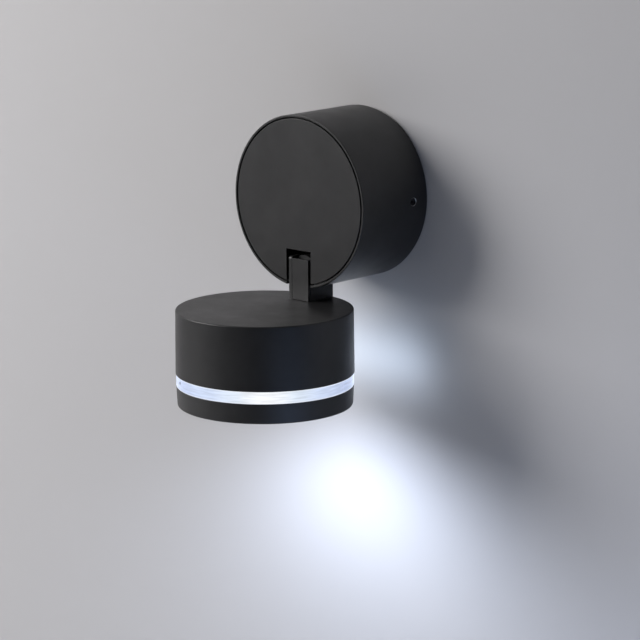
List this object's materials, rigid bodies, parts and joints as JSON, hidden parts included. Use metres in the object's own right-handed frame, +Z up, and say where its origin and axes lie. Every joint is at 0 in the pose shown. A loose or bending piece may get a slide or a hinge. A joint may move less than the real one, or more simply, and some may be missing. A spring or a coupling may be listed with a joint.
{
  "type": "pivoting spotlight wall light",
  "caption": "Wall light of two equal black drums: the spotlight drum, with a glowing clear ring, tilts on a hinge arm in the slotted front of the base drum.",
  "frame": {"origin": "centre of the wall bracket's rear face, on the base drum's axis, in the wall plane", "axes": "+Z up, +Y into the wall along the base drum's axis, +X to the right seen from the room"},
  "size_m": [0.1023, 0.1351, 0.163],
  "materials": {
    "powder_coat": "fine-textured satin black powder coat on cast aluminium",
    "zinc_steel": "zinc-plated sheet steel, dull",
    "black_steel": "black-zinc steel",
    "steel": "zinc-plated steel",
    "brass": "tinned brass, dull",
    "bare_aluminium": "bare rolled aluminium",
    "reflector": "spun aluminium, satin anodised",
    "clear_lens": "clear moulded plastic, polished",
    "emitter": "phosphor-coated light source, lit",
    "rubber": "black moulded rubber",
    "foam": "closed-cell foam rubber",
    "silicone": "translucent silicone",
    "fibre": "graphite-filled fibre",
    "terminal_plastic": "moulded insulator",
    "driver_plastic": "moulded casing",
    "board_white": "white solder mask",
    "connector_white": "moulded connector",
    "lead_sheath": "black wire insulation",
    "earth_sheath": "green and yellow wire insulation"
  },
  "bodies": {
    "base": {"rear_gasket": "foam", "wall_bracket": "zinc_steel", "cable_grommet": "rubber", "earth_screw": "steel", "earth_lug": "brass", "terminal_block": "terminal_plastic", "terminal_clamps": "brass", "terminal_screws": "steel", "base_housing": "powder_coat", "set_screws": "black_steel", "front_plate": "powder_coat", "front_plate_nuts": "steel", "hinge_yoke": "black_steel", "yoke_screws": "black_steel", "pivot_bolt": "black_steel", "pivot_nut": "black_steel", "spring_washer": "black_steel", "friction_washers": "fibre", "driver_case": "driver_plastic", "driver_screws": "steel", "mains_leads": "lead_sheath", "earth_lead": "earth_sheath", "slack_lead": "lead_sheath"},
    "head": {"hinge_arm": "powder_coat", "arm_front_cover": "powder_coat", "arm_plug": "rubber", "pivot_sleeve": "steel", "arm_screws": "steel", "lead_bush": "rubber", "head_housing": "powder_coat", "lens_ring": "clear_lens", "lens_seal": "silicone", "bezel": "powder_coat", "heat_spreader": "bare_aluminium", "spreader_screws": "steel", "light_board": "board_white", "board_screws": "steel", "light_emitter": "emitter", "board_connector": "connector_white", "reflector": "reflector", "lamp_lead": "lead_sheath"}
  },
  "joints": [
    {"name": "head_tilt", "type": "hinge", "parent": "base", "child": "head", "pos_m": [0, -0.045, -0.039], "axis": [-1, 0, 0], "range_deg": [0, 90], "deforming": ["slack_lead"]}
  ]
}
